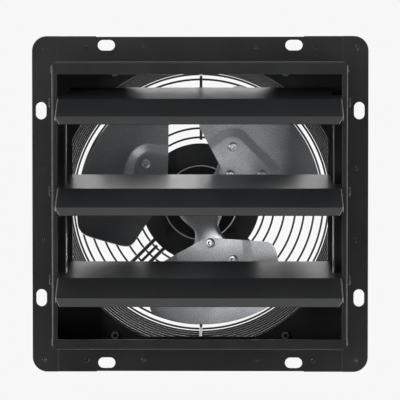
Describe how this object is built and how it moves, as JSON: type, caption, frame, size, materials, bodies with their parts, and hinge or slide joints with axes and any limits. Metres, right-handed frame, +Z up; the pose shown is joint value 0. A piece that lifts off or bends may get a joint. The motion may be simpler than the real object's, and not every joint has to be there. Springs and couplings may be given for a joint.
{
  "type": "shutter exhaust fan",
  "caption": "Square wall exhaust fan with a flanged shutter box, hinged gravity louvers, bladed fan wheel, motor and wire guard.",
  "frame": {"origin": "centre of the flange's front face, which meets the wall", "axes": "+X to the right seen from outdoors, +Y from the louvers to the motor, +Z up"},
  "size_m": [0.34, 0.2319, 0.34],
  "materials": {
    "black_sheet": "satin black powder coat on sheet steel",
    "black_louver": "satin black powder coat on aluminium sheet",
    "black_wire": "black powder coat on steel wire",
    "motor_enamel": "semi-gloss black enamel on drawn steel",
    "black_rivets": "steel rivets under the powder coat",
    "blade_aluminium": "mill-finish aluminium sheet",
    "bright_aluminium": "bright aluminium",
    "zinc_steel": "zinc-plated steel",
    "ground_steel": "ground steel shaft",
    "dark_screw": "black oxide steel",
    "lamination": "varnished electrical steel",
    "winding": "enamelled copper wire",
    "bronze": "sintered bronze",
    "nylon": "black nylon"
  },
  "bodies": {
    "housing": {"frame_side_left": "black_sheet", "frame_side_right": "black_sheet", "frame_top": "black_sheet", "frame_bottom": "black_sheet", "fan_panel": "black_sheet", "flange_rivets": "black_rivets", "box_corner_rivets": "black_rivets", "pivot_bushes_left": "nylon", "pivot_bushes_right": "nylon", "guard_front_ring": "black_wire", "guard_side_rings": "black_wire", "guard_back_rings": "black_wire", "guard_ribs": "black_wire", "guard_clips": "black_sheet", "guard_clip_screws": "zinc_steel", "guard_clip_nuts": "zinc_steel", "motor_support_legs": "black_wire", "motor_mounting_plate": "black_sheet", "motor_front_shell": "motor_enamel", "motor_rear_shell": "motor_enamel", "motor_through_bolts": "dark_screw", "motor_bolt_nuts": "zinc_steel", "stator_core": "lamination", "stator_windings": "winding", "front_bearing": "bronze", "rear_bearing": "bronze", "cable_gland": "nylon", "cable_gland_nut": "nylon"},
    "fan_wheel": {"motor_shaft": "ground_steel", "rotor_core": "lamination", "thrust_washers": "ground_steel", "fan_hub": "zinc_steel", "hub_set_screw": "dark_screw", "hub_rivets": "zinc_steel", "fan_spider": "zinc_steel", "fan_blade_1": "blade_aluminium", "fan_blade_2": "blade_aluminium", "fan_blade_3": "blade_aluminium", "blade_rivets": "bright_aluminium"},
    "louver_1": {"louver_1": "black_louver", "louver_1_pivot_pins": "zinc_steel", "louver_1_link_pins": "zinc_steel"},
    "louver_2": {"louver_2": "black_louver", "louver_2_pivot_pins": "zinc_steel", "louver_2_link_pins": "zinc_steel"},
    "louver_3": {"louver_3": "black_louver", "louver_3_pivot_pins": "zinc_steel", "louver_3_link_pins": "zinc_steel"},
    "link_left": {"link_bar_left": "bright_aluminium"},
    "link_right": {"link_bar_right": "bright_aluminium"}
  },
  "joints": [
    {"name": "fan_spin", "type": "hinge", "parent": "housing", "child": "fan_wheel", "pos_m": [0, 0.048, 0], "axis": [0, 1, 0], "continuous": true},
    {"name": "louver_1_pivot", "type": "hinge", "parent": "housing", "child": "louver_1", "pos_m": [0, -0.0496, 0.101], "axis": [1, 0, 0], "range_deg": [-18, 62]},
    {"name": "louver_2_pivot", "type": "hinge", "parent": "housing", "child": "louver_2", "pos_m": [0, -0.0496, 0.014], "axis": [1, 0, 0], "range_deg": [-18, 62]},
    {"name": "louver_3_pivot", "type": "hinge", "parent": "housing", "child": "louver_3", "pos_m": [0, -0.0496, -0.073], "axis": [1, 0, 0], "range_deg": [-18, 62]},
    {"name": "link_left_pivot", "type": "hinge", "parent": "louver_1", "child": "link_left", "pos_m": [-0.1324, -0.0376, 0.097], "axis": [1, 0, 0], "range_deg": [-62, 18]},
    {"name": "link_right_pivot", "type": "hinge", "parent": "louver_1", "child": "link_right", "pos_m": [0.1324, -0.0376, 0.097], "axis": [1, 0, 0], "range_deg": [-62, 18]}
  ],
  "couplings": [
    {"joint": "louver_2_pivot", "follows": "louver_1_pivot", "ratio": 1},
    {"joint": "louver_3_pivot", "follows": "louver_1_pivot", "ratio": 1},
    {"joint": "link_left_pivot", "follows": "louver_1_pivot", "ratio": -1},
    {"joint": "link_right_pivot", "follows": "louver_1_pivot", "ratio": -1}
  ]
}
